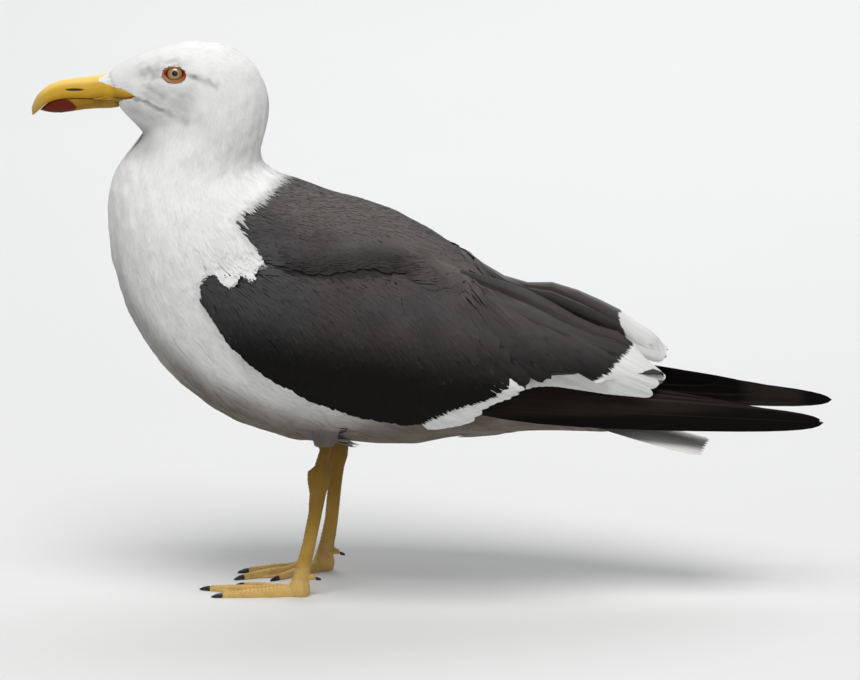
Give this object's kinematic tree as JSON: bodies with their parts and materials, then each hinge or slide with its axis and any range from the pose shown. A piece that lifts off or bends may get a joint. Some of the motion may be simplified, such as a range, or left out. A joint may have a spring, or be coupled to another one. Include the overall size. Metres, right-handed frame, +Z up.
{
  "type": "standing lesser black-backed gull",
  "caption": "Life-size still model of an adult lesser black-backed gull standing on flat webbed feet, head level, wings folded over the tail.",
  "frame": {"origin": "on the floor, under the middle of the bird's length and width", "axes": "+Z up from the floor; -X the way the bird faces, so +X runs from bill to wing tips; +Y to the bird's right side"},
  "size_m": [0.4936, 0.1432, 0.3427],
  "materials": {
    "white_plumage": "matte",
    "body_plumage": "matte",
    "tail_plumage": "matte",
    "slate_feathers": "matte",
    "black_feathers": "matte",
    "bill_horn": "satin",
    "eye": "gloss",
    "leg_skin": "satin",
    "claw_horn": "satin"
  },
  "bodies": {
    "root": {"head": "white_plumage", "neck": "white_plumage", "trunk": "body_plumage", "rump": "tail_plumage", "tail": "tail_plumage", "bill_upper": "bill_horn", "bill_lower": "bill_horn", "eye_left": "eye", "eye_right": "eye", "wing_left_coverts": "slate_feathers", "wing_left_tertials": "slate_feathers", "wing_left_secondaries": "slate_feathers", "wing_left_primaries": "black_feathers", "wing_right_coverts": "slate_feathers", "wing_right_tertials": "slate_feathers", "wing_right_secondaries": "slate_feathers", "wing_right_primaries": "black_feathers", "thigh_left": "body_plumage", "thigh_right": "body_plumage", "shank_left": "leg_skin", "shank_right": "leg_skin", "foot_left": "leg_skin", "foot_right": "leg_skin", "hind_toe_left": "leg_skin", "hind_toe_right": "leg_skin", "claw_left_hind": "claw_horn", "claw_left_outer": "claw_horn", "claw_left_middle": "claw_horn", "claw_left_inner": "claw_horn", "claw_right_hind": "claw_horn", "claw_right_outer": "claw_horn", "claw_right_middle": "claw_horn", "claw_right_inner": "claw_horn"}
  },
  "joints": []
}
